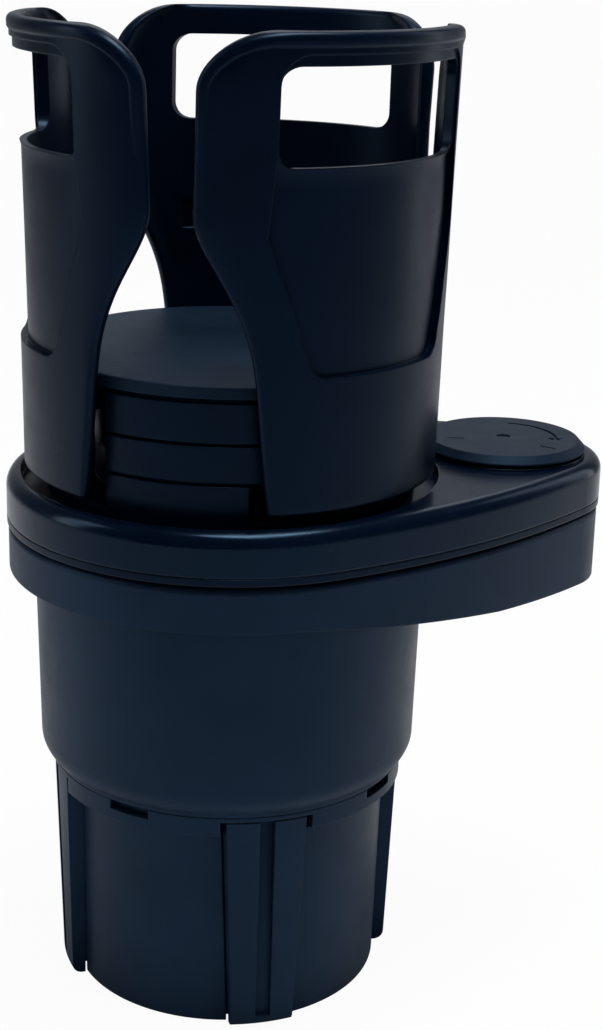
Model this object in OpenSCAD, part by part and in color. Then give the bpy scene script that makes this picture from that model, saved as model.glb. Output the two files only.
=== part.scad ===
// Car cup holder with two places. A plug with four sliding feet fits the car's own recess and
// carries the lower cup. A teardrop deck swings over that cup about a pivot at its narrow end,
// and three windowed arms stand on the deck round a stepped drum. Millimetres, +Z up.
// The origin is on the cup's axis at the foot of the plug, and +X points to the pivot.

/* [Plug] */
// Radius of the sleeve at its foot
sleeve_r = 34; // [33.8:0.1:34.4]
// How much the sleeve's radius grows up to the collar
sleeve_gain = 1; // [0:0.1:1.4]
// Wall of the sleeve
sleeve_wall = 2.2; // [1.8:0.1:2.4]
// Height of the collar's lower edge
collar_z = 46.4; // [45.9:0.1:46.8]
// How far the collar stands out beyond the sleeve's foot
collar_out = 4.6; // [4.5:0.1:5]
// Height of the seam between the collar and the lower cup
seam_z = 51; // [50.8:0.1:54]
// Angle of the feet about the cup's axis, away from the pivot's direction
plug_turn = -2.4; // [-45:0.1:45]

/* [Feet] */
// Number of feet
foot_count = 4; // [4]
// Width of a foot at its lower end
foot_w_low = 13.4; // [11:0.1:14.5]
// Width of a foot at its upper end
foot_w_high = 17.2; // [14.5:0.1:18]
// How far a foot stands out of the sleeve at its lower end, as in the photograph
foot_stand_low = 3; // [2.6:0.1:3.6]
// How far a foot stands out at its upper end
foot_stand_high = 4.4; // [3.8:0.1:4.6]
// Width of the groove down the middle of a foot
groove_w = 3.2; // [2:0.1:4]
// Depth of that groove
groove_deep = 2; // [1:0.1:2.4]
// How far a foot can slide in from where it stands
foot_in = 3.2; // [1:0.1:3.2]
// How far a foot can slide out from where it stands
foot_out = 4.4; // [2:0.1:4.6]
// Radius of the pins that drive the feet and the arms
drive_pin_r = 1.6; // [1.2:0.1:1.8]

/* [Foot dial] */
// Radius of the dial on the lower cup's floor
dial_r = 20; // [16:1:26]
// Radius of the dial's shaft
dial_shaft_r = 6; // [5:0.5:8]
// How far a foot slides for each radian of the dial
foot_lead = 5.2; // [4.6:0.1:5.6]
// Thickness of the two cams
cam_t = 3.2; // [2.6:0.1:3.4]

/* [Lower cup] */
// How far the cup stands out beyond the collar, just above its rounded foot
cup_step = 2.6; // [2.2:0.1:3]
// How much the cup's radius grows up to its rim
cup_gain = 1; // [0:0.1:1.2]
// Wall of the cup
cup_wall = 2.4; // [1.6:0.1:3]
// Radius of the cup's rounded foot
cup_round = 5.5; // [4.5:0.1:6.5]
// Height of the cup's rim
cup_rim_z = 103.8; // [102.8:0.1:104]

/* [Teardrop] */
// How far the round end stands out beyond the cup's rim
head_land = 5.6; // [5.4:0.1:6.6]
// Radius of the narrow end, about the pivot
tip_r = 22; // [20.6:0.1:24]
// Distance from the round end to the pivot
tip_reach = 15.2; // [15:0.1:19]
// Radius of the two long sides
side_r = 170; // [140:5:240]
// Wall of the deck and of the housing
shell_wall = 2.4; // [2:0.1:2.8]

/* [Housing] */
// Height of the housing's underside beside the cup
housing_low_z = 94.7; // [93:0.1:95.5]
// Height of the housing's underside at the narrow end
housing_tip_z = 87.8; // [86:0.1:90]
// Height of the housing's top edge
housing_top_z = 104; // [103.9:0.1:104.1]
// How much smaller than the deck the housing is, all round
housing_inset = 0.3; // [0:0.1:0.6]
// Radius of the housing's rounded top edge
housing_edge = 1.2; // [0.6:0.1:1.6]

/* [Deck] */
// Height of the deck's underside
deck_low_z = 104.7; // [104.7:0.1:104.9]
// Thickness of the cover under the deck
cover_t = 1.5; // [1.3:0.1:1.6]
// Height of the deck's top face
deck_top_z = 115.4; // [115:0.1:115.6]
// Radius of the deck's rounded top edge
deck_edge = 3; // [1:0.1:3]
// Rim that the round well under the arms leaves at the round end
well_land = 3.2; // [3.1:0.1:3.4]
// Depth of that well
well_deep = 2.4; // [2.2:0.1:2.5]

/* [Pivot] */
// Radius of the pivot pin inside the deck
pivot_r = 4; // [3.4:0.1:4.6]
// Radius of the pivot pin's foot inside the housing
pivot_foot_r = 5; // [4.8:0.1:6]
// Radius of the knob over the pivot
knob_r = 18.2; // [17.4:0.1:18.6]
// How high the knob stands on the deck
knob_high = 3; // [2.9:0.1:4]
// Width of the knob's bevelled edge
knob_bevel = 1.5; // [0.5:0.1:2]
// Height of that bevel
knob_bevel_h = 1.6; // [0.6:0.1:1.6]

/* [Drum] */
// How far inside the arms' outer face the drum's steps and the floor disc end
drum_land = 4.6; // [4.4:0.1:5]
// How deep the hollows between the drum's lobes are
lobe_deep = 10.3; // [10:0.1:10.6]
// Wall of the drum's core
core_wall = 3; // [2.6:0.1:3.2]
// Half the angle that each of the drum's lobes covers
lobe_half = 24.6; // [20:0.1:25]
// Angle by which the lowest lobes are cut back on one side
lobe_cut = 4.8; // [0:0.1:8]
// Height of the joint between the lowest and the middle step
step_1_z = 123; // [122:0.1:124]
// Height of the joint between the middle and the upper step
step_2_z = 131; // [130.8:0.1:131.2]
// Height of the upper step's top
step_3_z = 139.5; // [139.4:0.1:139.8]
// Height of the floor disc's top face
floor_z = 142.3; // [142:0.1:143]

/* [Arms] */
// Gap between the well and the outside of the arms' feet
arm_land = 0.7; // [0.4:0.1:0.8]
// How much an arm's radius grows up to its rim, before its bead
arm_flare = 1.6; // [0.6:0.1:5]
// Wall of an arm
arm_wall = 2.8; // [2.6:0.1:3.4]
// Height of an arm's foot
arm_low_z = 117.4; // [117.2:0.1:118.2]
// Height of an arm's rim
arm_top_z = 209.1; // [205:0.1:220]
// Half the angle that an arm covers near its rim
arm_span_high = 53.5; // [50:0.1:54]
// Half the angle that its side would cover near its rim if it only leaned out as at its foot
arm_span_line = 42; // [38:0.5:44]
// Half the angle that an arm covers at its foot
arm_span_low = 34.1; // [30:0.1:34.5]
// Height where an arm starts to widen
waist_z = 140; // [134:1:146]
// Height where an arm reaches its full width
shoulder_z = 176; // [170:1:180]
// Radius of an arm's top corners
arm_corner = 11; // [6:0.5:14]
// How far the bead at the rim stands out
bead_out = 0.4; // [0:0.1:0.8]
// Height of that bead
bead_h = 4.8; // [3:0.1:6]
// How far an arm can slide out from where it stands
arm_out = 7; // [3:0.1:7]
// How far an arm slides for each radian of the floor disc
arm_lead = 5; // [4.6:0.1:5.6]

/* [Arm windows] */
// Half the angle that a window covers
window_span = 35.3; // [24:0.1:36]
// Height of a window's lower edge
window_low_z = 184.4; // [180:0.1:190]
// Height of a window's upper edge
window_top_z = 202.8; // [198:0.1:203]
// Radius of a window's corners
window_corner = 3.6; // [1:0.1:5]
// Depth of the sunken panel under a window
panel_deep = 1.5; // [0.8:0.1:1.7]
// Half the angle that the sunken panel covers at its lower end
panel_span_low = 25.1; // [16:0.1:27]
// Height of the sunken panel's lower end
panel_low_z = 144.4; // [142:0.1:150]
// Height where the sunken panel starts to narrow
panel_waist_z = 172; // [165:1:176]

/* [Clearances] */
// Gap round whatever slides
slide_gap = 0.35; // [0.3:0.05:0.4]
// Radial gap of a shaft that turns in its bore
run_gap = 0.06; // [0.03:0.01:0.1]
// Gap between pieces that are seated together
seat_gap = 0.15; // [0.1:0.05:0.2]

/* [Hidden] */

$fn = 180;
plastic = [0.07, 0.085, 0.11];
plastic_matt = [0.1, 0.115, 0.14];
metal = [0.55, 0.56, 0.58];
eps = 0.01;

// Every radius about the cup's axis follows from the sleeve's
collar_r = sleeve_r + collar_out;
foot_r_low = sleeve_r + foot_stand_low;
foot_r_high = sleeve_r + foot_stand_high;
cup_r_low = collar_r + cup_step;
cup_r_high = cup_r_low + cup_gain;
head_r = cup_r_high + head_land;
pivot_x = head_r + tip_reach;
well_r = head_r - well_land;
arm_r_low = well_r - arm_land;
arm_r_high = arm_r_low + arm_flare;
drum_r = arm_r_low - drum_land;
core_r = drum_r - lobe_deep;
core_bore_r = core_r - core_wall;
arm_half_high = arm_r_high * sin(arm_span_high);
arm_half_line = arm_r_high * sin(arm_span_line);
arm_half_low = arm_r_low * sin(arm_span_low);
window_half = arm_r_high * sin(window_span);
panel_half_low = arm_r_low * sin(panel_span_low);

foot_pitch = 360 / foot_count;
arm_count = 3;
arm_pitch = 360 / arm_count;

// The plug, from the floor up
sleeve_edge = 1.6;
cover_plate_t = 2.6;
cover_r = sleeve_r - sleeve_wall - slide_gap;
foot_low_z = 0.5;
foot_pin_x = sleeve_r - 12;
foot_edge = 2;
flange_t = 1;
flange_z = seam_z - flange_t - 0.1;
foot_top_z = flange_z - 0.3;
cam_z = 46.1;
foot_cam_r = foot_pin_x + foot_out + drive_pin_r + 1.5;
foot_cam_top_z = cam_z + cam_t;
tongue_top_z = cam_z - 0.6;
tongue_t = 3.9;
tongue_z = tongue_top_z - tongue_t;
tongue_half = 4;
guide_t = 3.2;
guide_z = tongue_z - slide_gap - guide_t;
foot_body_x = sleeve_r - 6;
foot_nose_x = foot_cam_r + foot_in + 0.5;
foot_lip_x = foot_r_low - 2.8;
foot_lip_z = cover_plate_t + 0.6;
notch_gap = 1.25;
window_slot_w = 9.6;
window_slot_h = 2;
boss_r = 3.4;
screw_r = 1.25;
screw_gap = 0.05;
cover_screw_at = sleeve_r - 7;
cover_screw_z = 1.6;

// The lower cup
cup_floor_t = 2.4;
cup_floor_z = seam_z + cup_floor_t;
cup_round_z = seam_z + cup_round;
seam_land = 0.8;
dial_well_deep = 0.7;
dial_z = cup_floor_z - dial_well_deep + 0.3;
dial_plate_t = 2;
dial_grip_h = 5.5;

// The teardrop's long sides are arcs that touch both round ends
side_x = (pow(side_r - head_r, 2) - pow(side_r - tip_r, 2) + pow(pivot_x, 2)) / (2 * pivot_x);
side_y = sqrt(pow(side_r - head_r, 2) - pow(side_x, 2));

// The housing
housing_floor_t = 2.2;
housing_bend_x = 2;
housing_mid_x = pivot_x - 13;
housing_mid_z = housing_tip_z + 1.8;
housing_plate_t = 1.9;
pivot_boss_r = 9;
housing_screw_at = [for (x = [-14, 12]) for (s = [-1, 1])
    [pivot_x + x, s * (x < 0 ? tip_r - 4 : tip_r - 13)]];

// The deck
deck_shell_z = deck_low_z + cover_t + 0.2;
well_z = deck_top_z - well_deep;
well_floor_t = 2.2;
well_under_z = well_z - well_floor_t;
pad_t = 1.4;
pad_top_z = deck_low_z + cover_t + pad_t;
pivot_tube_r = 12.6;
pivot_tube_bore_r = 10.2;
pivot_web_t = 3.1;
pivot_web_top_z = deck_shell_z + pivot_web_t;
deck_ring_r = well_r - 3.6;
deck_ring_at = [for (a = [60, 180, 300]) deck_ring_r * [cos(a), sin(a)]];
deck_tip_at = [for (s = [1, -1]) [pivot_x - 14, s * (tip_r - 6)]];
knob_ring_h = 0.4;

// The pivot
knob_z = deck_top_z + 0.3;
knob_top_z = deck_top_z + knob_high;
knob_neck_h = 0.7;
knob_hub_r = pivot_tube_bore_r - 0.3;
knob_hub_bore_r = 7.8;
pivot_head_r = 7;
pivot_head_t = 1.5;

// The drum
drum_z = well_z + 0.1;
base_plate_t = 1.6;
groove_h = 0.7;
step_groove = 1;
bearing_t = 1.8;
cam_shaft_r = 5;
arm_tongue_z = step_2_z + 0.3;
arm_tongue_t = 3;
arm_tongue_half = 7;
arm_cam_z = arm_tongue_z + arm_tongue_t + 0.5;
arm_cam_r = core_bore_r - 0.6;
arm_cam_top_z = arm_cam_z + cam_t;
arm_pin_x = core_bore_r - 12;
disc_z = step_3_z + 0.3;
disc_hub_r = 8;
drum_screw_x = core_r + 3.5;
drum_screw_r = 1.5;
tab_turn = 3.6;
tab_h = 6;

// The arms
bend_r = 15;
bend_high = 7.4;
bend_low = 2.4;
pocket_turn = 30;
pocket_z = 160;
pocket_deep = (arm_wall - panel_deep) / 2;
rib_x = core_r + 2.6;
rib_low_z = 120;

foot_wide = foot_in + foot_out;
arm_turn = arm_out / arm_lead * 180 / PI;
foot_turn_in = foot_in / foot_lead * 180 / PI;
foot_turn_out = foot_out / foot_lead * 180 / PI;

function cup_r(z) = cup_r_low + (cup_r_high - cup_r_low) * (z - cup_round_z) / (cup_rim_z - cup_round_z);
function sleeve_at(z) = sleeve_r + sleeve_gain * z / collar_z;
function foot_half(z) = (foot_w_low + (foot_w_high - foot_w_low) * z / foot_top_z) / 2;
function beyond(from, to, far) = from + (to - from) / norm(to - from) * far;
function polar(r, a) = [r * cos(a), r * sin(a)];
// How near to the axis a face of radius r comes at half width half
function near_x(r, half) = sqrt(pow(r, 2) - pow(half, 2));
// Slow start and slow end between 0 and 1
function eased(w) = w * w * (3 - 2 * w);

// A ring with a square section
module ring(r_out, r_in, z, h) {
    translate([0, 0, z]) difference() {
        cylinder(h = h, r = r_out);
        translate([0, 0, -1]) cylinder(h = h + 2, r = r_in);
    }
}

// A box given by its low corner and its high corner
module block(low, high) {
    translate(low) cube(high - low);
}

// A wedge of a ring between two angles
module sector(r_out, r_in, a0, a1, z, h) {
    rotate([0, 0, a0]) rotate_extrude(angle = a1 - a0) translate([r_in, z]) square([r_out - r_in, h]);
}

// A round plate whose top edge is rounded by f
module round_plate(r, h, f) {
    if (f > 0) {
        rotate_extrude() {
            square([r - f, h]);
            square([r, h - f]);
            translate([r - f, h - f]) circle(f, $fn = 64);
        }
    } else {
        cylinder(h = h, r = r);
    }
}

// The teardrop's plan as a plate, drawn in by inset all round
module teardrop(inset, z, h, f = 0) {
    far = side_r + 5;
    translate([0, 0, z]) {
        round_plate(head_r - inset, h, f);
        translate([pivot_x, 0, 0]) round_plate(tip_r - inset, h, f);
        intersection() {
            translate([side_x, side_y, 0]) round_plate(side_r - inset, h, f);
            translate([side_x, -side_y, 0]) round_plate(side_r - inset, h, f);
            translate([0, 0, -1]) linear_extrude(h + 2) polygon([
                [0, 0], beyond([side_x, side_y], [0, 0], far),
                beyond([side_x, side_y], [pivot_x, 0], far), [pivot_x, 0],
                beyond([side_x, -side_y], [pivot_x, 0], far),
                beyond([side_x, -side_y], [0, 0], far)]);
        }
    }
}

// A slot along a spiral, open right through a cam: r falls by lead for each radian of angle
module spiral_slot(r, lead, a0, a1, half, z, h) {
    steps = 18;
    turns = [for (i = [0:steps]) a0 + (a1 - a0) * i / steps];
    function at(a) = r - lead * a * PI / 180;
    translate([0, 0, z]) linear_extrude(h) {
        polygon(concat([for (a = turns) polar(at(a) - half, a)],
            [for (i = [steps:-1:0]) polar(at(turns[i]) + half, turns[i])]));
        translate(polar(at(a0), a0)) circle(half, $fn = 48);
        translate(polar(at(a1), a1)) circle(half, $fn = 48);
    }
}

// A screw that points up, with its head's underside at z
module screw(at, z, length, r, head_r, head_t) {
    translate([at[0], at[1], z - head_t]) difference() {
        union() {
            cylinder(h = head_t, r = head_r, $fn = 48);
            cylinder(h = head_t + length, r = r, $fn = 48);
        }
        translate([-head_r * 0.6, -0.4, -1]) cube([head_r * 1.2, 0.8, 1.6]);
        translate([-0.4, -head_r * 0.6, -1]) cube([0.8, head_r * 1.2, 1.6]);
    }
}

// Puts children at every foot, or at every place between two feet
module at_feet(shift = 0) {
    for (i = [0:foot_count - 1]) rotate([0, 0, plug_turn + foot_pitch * (i + shift)]) children();
}

// The sleeve's plug-shaped outside with its collar
module sleeve_outside() {
    rotate_extrude() {
        polygon([[0, sleeve_edge], [sleeve_at(sleeve_edge), sleeve_edge],
            [sleeve_at(collar_z - 0.5), collar_z - 0.5], [collar_r, collar_z + 0.3],
            [collar_r, seam_z - 0.1], [0, seam_z - 0.1]]);
        translate([sleeve_at(sleeve_edge) - sleeve_edge, sleeve_edge]) circle(sleeve_edge, $fn = 64);
        square([sleeve_at(sleeve_edge) - sleeve_edge, sleeve_edge + 0.5]);
    }
}

// The hollow inside the sleeve
module sleeve_inside() {
    step_z = collar_z + 1.1;
    rotate_extrude() polygon([[0, -1], [sleeve_r - sleeve_wall, -1],
        [sleeve_at(collar_z) - sleeve_wall, step_z], [collar_r - sleeve_wall, step_z],
        [collar_r - sleeve_wall, flange_z], [foot_cam_r + 0.7, flange_z],
        [foot_cam_r + 0.7, seam_z + 5], [0, seam_z + 5]]);
}

// A prism along +X with a foot's tapered width, wider by gap on each side
module foot_prism(gap, low, high, x0 = 10) {
    translate([x0, 0, 0]) rotate([90, 0, 90]) linear_extrude(50)
        polygon([[-foot_half(low) - gap, low], [foot_half(low) + gap, low],
            [foot_half(high) + gap, high], [-foot_half(high) - gap, high]]);
}

// Sleeve of the plug with its collar, the feet's slots and the ribs that carry the guide plate
module base_sleeve() {
    color(plastic) difference() {
        union() {
            difference() {
                sleeve_outside();
                sleeve_inside();
            }
            at_feet(0.5) {
                translate([cover_screw_at, 0, cover_plate_t + 0.1]) cylinder(h = 12, r = boss_r, $fn = 48);
                block([cover_screw_at, -1.5, cover_plate_t + 0.1], [sleeve_r - 1, 1.5, guide_z - 0.1]);
            }
        }
        at_feet() {
            foot_prism(slide_gap, -1, collar_z + 0.4);
            foot_prism(notch_gap, collar_z, flange_z, x0 = sleeve_r - sleeve_wall - 2);
        }
        at_feet(0.5) {
            block([collar_r - sleeve_wall - 1, -window_slot_w / 2, seam_z - window_slot_h - 0.1],
                [collar_r + 1, window_slot_w / 2, seam_z + 1]);
            translate([cover_screw_at, 0, 0]) cylinder(h = 13, r = screw_r + screw_gap, $fn = 48);
        }
    }
}

// Plate under the plug
module bottom_cover() {
    color(plastic) difference() {
        cylinder(h = cover_plate_t, r = cover_r);
        at_feet() foot_prism(slide_gap + 0.3, -1, cover_plate_t + 1,
            x0 = near_x(foot_lip_x, foot_half(cover_plate_t)) - foot_in - slide_gap);
        at_feet(0.5) translate([cover_screw_at, 0, -1]) {
            cylinder(h = 10, r = screw_r + screw_gap, $fn = 48);
            cylinder(h = cover_screw_z + 1, r = 3, $fn = 48);
        }
        ring(16, 15.2, -1, 1.4);
    }
}

module cover_screws() {
    color(metal) at_feet(0.5) screw([cover_screw_at, 0], cover_screw_z - 0.05, 10, screw_r, 2.8, 1.3);
}

// Plate that the feet's tongues slide on, between two rails each
module guide_plate() {
    rail_h = tongue_t - 0.4;
    color(plastic) difference() {
        union() {
            translate([0, 0, guide_z]) cylinder(h = guide_t, r = sleeve_at(guide_z) - sleeve_wall - 0.3);
            at_feet() for (s = [-1, 1]) translate([0, s * (tongue_half + slide_gap + 0.9), 0])
                block([foot_pin_x - 11, -0.9, guide_z + guide_t - 0.2],
                    [foot_pin_x + 0.2, 0.9, guide_z + guide_t + rail_h]);
        }
        at_feet() foot_prism(0.5, guide_z - 1, guide_z + guide_t + 10,
            x0 = near_x(foot_body_x, foot_half(guide_z + guide_t)) - foot_in - 0.6);
        translate([0, 0, guide_z - 1]) cylinder(h = guide_t + 2, r = 6);
    }
}

// One foot in its own place along +X: a grooved face, a hollow body, a tongue and a drive pin
module foot_shape() {
    rib = 2.3;
    difference() {
        union() {
            intersection() {
                rotate_extrude() {
                    polygon([[foot_body_x, foot_lip_z], [foot_lip_x, foot_lip_z],
                        [foot_lip_x, foot_low_z], [foot_r_low - foot_edge, foot_low_z],
                        [foot_r_low - foot_edge, foot_low_z + foot_edge],
                        [foot_r_low, foot_low_z + foot_edge], [foot_r_high, foot_top_z],
                        [foot_nose_x, foot_top_z], [foot_nose_x, tongue_top_z],
                        [foot_body_x, tongue_top_z]]);
                    intersection() {
                        translate([foot_r_low - foot_edge, foot_low_z + foot_edge])
                            circle(foot_edge, $fn = 64);
                        translate([foot_r_low - foot_edge, foot_low_z]) square(foot_edge + 1);
                    }
                }
                foot_prism(0, 0, foot_top_z + 1);
            }
            block([foot_pin_x - 2.5, -tongue_half, tongue_z], [foot_body_x + 1, tongue_half, tongue_top_z]);
            translate([foot_pin_x, 0, tongue_z]) cylinder(h = foot_cam_top_z - 0.2 - tongue_z,
                r = drive_pin_r, $fn = 48);
        }
        block([foot_r_low - groove_deep + 0.9, -groove_w / 2, foot_low_z + 2.4],
            [foot_r_high + 2, groove_w / 2, foot_top_z + 1]);
        translate([foot_body_x - 1, 0, 0]) rotate([90, 0, 90])
            linear_extrude(foot_r_low - groove_deep - rib - foot_body_x + 1.9)
            polygon([[-foot_half(6) + rib, 6], [foot_half(6) - rib, 6],
                [foot_half(40) - rib, tongue_z - 1.5], [-foot_half(40) + rib, tongue_z - 1.5]]);
    }
}

module foot(i) {
    color(plastic) rotate([0, 0, plug_turn + foot_pitch * i]) foot_shape();
}

module foot_1() { foot(3); }
module foot_2() { foot(0); }
module foot_3() { foot(1); }
module foot_4() { foot(2); }

// Cam whose four spiral slots push the feet out as it turns
module foot_cam() {
    color(plastic) difference() {
        translate([0, 0, cam_z]) cylinder(h = cam_t, r = foot_cam_r);
        at_feet() spiral_slot(foot_pin_x, foot_lead, -foot_turn_out, foot_turn_in,
            drive_pin_r + 0.3, cam_z - 1, cam_t + 2);
        translate([0, 0, cam_z - 1]) cylinder(h = cam_t + 2, r = drum_screw_r + screw_gap, $fn = 48);
    }
}

// Dial on the lower cup's floor, with a grip bar and a shaft down to the cam
module foot_dial() {
    grip_half = dial_r - 4;
    color(plastic_matt) difference() {
        union() {
            translate([0, 0, dial_z]) round_plate(dial_r, dial_plate_t, 0.8);
            block([-grip_half, -3, dial_z + 1], [grip_half, 3, dial_z + dial_plate_t + dial_grip_h]);
            for (s = [-1, 1]) translate([s * grip_half, 0, dial_z + 1])
                cylinder(h = dial_plate_t + dial_grip_h - 1, r = 3, $fn = 64);
            translate([0, 0, foot_cam_top_z]) cylinder(h = dial_z + 1 - foot_cam_top_z, r = dial_shaft_r);
        }
        translate([0, 0, cam_z]) cylinder(h = 11.5, r = drum_screw_r + screw_gap, $fn = 48);
    }
}

module dial_screw() {
    color(metal) screw([0, 0], cam_z, 11, drum_screw_r, 4.4, 1.7);
}

// Outside of the lower cup as a half section
module cup_outline() {
    polygon([[0, cup_round_z], [cup_r_low, cup_round_z], [cup_r_high, cup_rim_z], [0, cup_rim_z]]);
    translate([cup_r_low - cup_round, cup_round_z]) circle(cup_round, $fn = 96);
    translate([0, seam_z]) square([cup_r_low - cup_round, cup_round + eps]);
    translate([0, seam_z]) square([collar_r, seam_land]);
}

// Lower cup, open at the top, with four hooks that snap into the collar's slots
module lower_cup() {
    inner_round = cup_round - 1.5;
    color(plastic) difference() {
        union() {
            rotate_extrude() cup_outline();
            at_feet(0.5) block([collar_r - sleeve_wall - 0.8, -window_slot_w / 2 + 0.6,
                seam_z - window_slot_h + 0.1], [collar_r - 1.8, window_slot_w / 2 - 0.6, seam_z + 1]);
        }
        rotate_extrude() {
            translate([0, cup_floor_z + inner_round]) polygon([[0, 0], [cup_r_low - cup_wall, 0],
                [cup_r(cup_rim_z + 1) - cup_wall, cup_rim_z + 1 - cup_floor_z - inner_round],
                [0, cup_rim_z + 1 - cup_floor_z - inner_round]]);
            translate([cup_r_low - cup_wall - inner_round, cup_floor_z + inner_round])
                circle(inner_round, $fn = 96);
            translate([0, cup_floor_z]) square([cup_r_low - cup_wall - inner_round, inner_round + eps]);
        }
        translate([0, 0, seam_z - 1]) cylinder(h = 6, r = dial_shaft_r + run_gap);
        translate([0, 0, cup_floor_z - dial_well_deep]) cylinder(h = 5, r = dial_r + slide_gap);
    }
}

// Everything above the housing's underside, or above its floor when lifted
module housing_side(lift) {
    rotate([90, 0, 0]) linear_extrude(3 * head_r, center = true)
        polygon([[-2 * head_r, housing_low_z + lift], [housing_bend_x, housing_low_z + lift],
            [housing_mid_x, housing_mid_z + lift], [pivot_x + tip_r, housing_tip_z + lift],
            [2 * pivot_x, housing_tip_z + lift], [2 * pivot_x, 2 * housing_top_z],
            [-2 * head_r, 2 * housing_top_z]]);
}

// Teardrop pan round the top of the lower cup, with the pivot's boss
module lower_housing() {
    low = housing_tip_z - 5;
    inside = housing_inset + shell_wall;
    boss_top_z = housing_top_z - 0.2;
    plate_under_z = boss_top_z - housing_plate_t;
    color(plastic) difference() {
        intersection() {
            union() {
                difference() {
                    teardrop(housing_inset, low, housing_top_z - low, housing_edge);
                    intersection() {
                        teardrop(inside, low, 60);
                        housing_side(housing_floor_t);
                    }
                }
                translate([pivot_x, 0, low]) cylinder(h = boss_top_z - low, r = pivot_boss_r);
                for (p = housing_screw_at) translate([p[0], p[1], low])
                    cylinder(h = plate_under_z - low, r = 3, $fn = 48);
                for (a = [60, 120, 180, 240, 300]) rotate([0, 0, a])
                    block([cup_r(plate_under_z) + 0.6, -1, low], [head_r - inside + 1, 1, plate_under_z]);
            }
            housing_side(0);
        }
        translate([0, 0, low - 1]) cylinder(h = 60, r = cup_r(housing_low_z + housing_floor_t) + seat_gap);
        translate([pivot_x, 0, housing_tip_z + housing_floor_t + 1]) cylinder(h = 30,
            r = pivot_foot_r + screw_gap);
        for (p = housing_screw_at) translate([p[0], p[1], plate_under_z - 8])
            cylinder(h = 20, r = screw_r + screw_gap, $fn = 48);
    }
}

// Plate that closes the housing round the cup's rim and the pivot's boss
module housing_top() {
    top_z = housing_top_z - 0.2;
    color(plastic) difference() {
        teardrop(housing_inset + shell_wall + seat_gap, top_z - housing_plate_t, housing_plate_t);
        translate([0, 0, top_z - 5]) cylinder(h = 10, r = cup_r_high + seat_gap);
        translate([pivot_x, 0, top_z - 5]) cylinder(h = 10, r = pivot_boss_r + seat_gap);
        for (p = housing_screw_at) translate([p[0], p[1], top_z - 5]) {
            cylinder(h = 10, r = screw_r + screw_gap, $fn = 48);
            translate([0, 0, 5 - 1.1]) cylinder(h = 5, r = 2.6, $fn = 48);
        }
    }
}

module housing_screws() {
    top_z = housing_top_z - 0.2;
    color(metal) for (p = housing_screw_at)
        translate([p[0], p[1], top_z - 1.1]) rotate([180, 0, 0]) screw([0, 0], 0, 8, screw_r, 2.4, 0.9);
}

// Pin fixed in the housing, about which the deck swings
module pivot_pin() {
    foot_z = housing_tip_z + housing_floor_t + 1.1;
    top_z = pivot_web_top_z + 0.4;
    color(metal) translate([pivot_x, 0, 0]) difference() {
        union() {
            translate([0, 0, foot_z]) cylinder(h = housing_top_z - foot_z, r = pivot_foot_r);
            translate([0, 0, foot_z]) cylinder(h = top_z - foot_z, r = pivot_r);
        }
        translate([0, 0, top_z - 11]) cylinder(h = 12, r = drum_screw_r + screw_gap, $fn = 48);
    }
}

// Thin ring that the deck turns on
module pivot_washer() {
    color(plastic_matt) translate([pivot_x, 0, 0])
        ring(pivot_boss_r + 3, pivot_r + 0.2, housing_top_z + 0.1, deck_low_z - housing_top_z - 0.2);
}

// Screw with a wide head that holds the deck down on the pin
module pivot_screw() {
    z = pivot_web_top_z + 0.4;
    color(metal) translate([pivot_x, 0, z]) rotate([180, 0, 0])
        screw([0, 0], 0, 10, drum_screw_r, pivot_head_r, pivot_head_t);
}

// Turning marks on the knob: a dimple, two dashes and a curved arrow
module knob_marks(h) {
    cylinder(h = h, r = 1.5, $fn = 48);
    translate(polar(11.2, 177)) rotate([0, 0, -18]) block([-1.9, -0.3, 0], [1.9, 0.3, h]);
    translate(polar(12.6, -62)) rotate([0, 0, -54]) block([-1.9, -0.3, 0], [1.9, 0.3, h]);
    sector(12, 11.2, -22, 62, 0, h);
    linear_extrude(h) polygon([polar(9.8, -22), polar(13.4, -22), polar(11.4, -35)]);
}

// Knob over the pivot, with a bevelled edge above a narrow neck
module pivot_knob() {
    neck_top = knob_z + knob_neck_h;
    side_top = knob_top_z - knob_bevel_h;
    mark = 0.35;
    color(plastic_matt) translate([pivot_x, 0, 0]) difference() {
        union() {
            translate([0, 0, knob_z]) cylinder(h = knob_neck_h + eps, r = knob_r - 1.5);
            translate([0, 0, neck_top]) cylinder(h = side_top - neck_top + eps, r = knob_r);
            translate([0, 0, side_top]) cylinder(h = knob_top_z - side_top, r1 = knob_r,
                r2 = knob_r - knob_bevel);
            translate([0, 0, pivot_web_top_z + 0.4]) cylinder(h = knob_z - pivot_web_top_z, r = knob_hub_r);
        }
        translate([0, 0, pivot_web_top_z - 1]) cylinder(h = neck_top - pivot_web_top_z + 1,
            r = knob_hub_bore_r);
        translate([0, 0, knob_top_z - mark]) knob_marks(1);
    }
}

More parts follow.
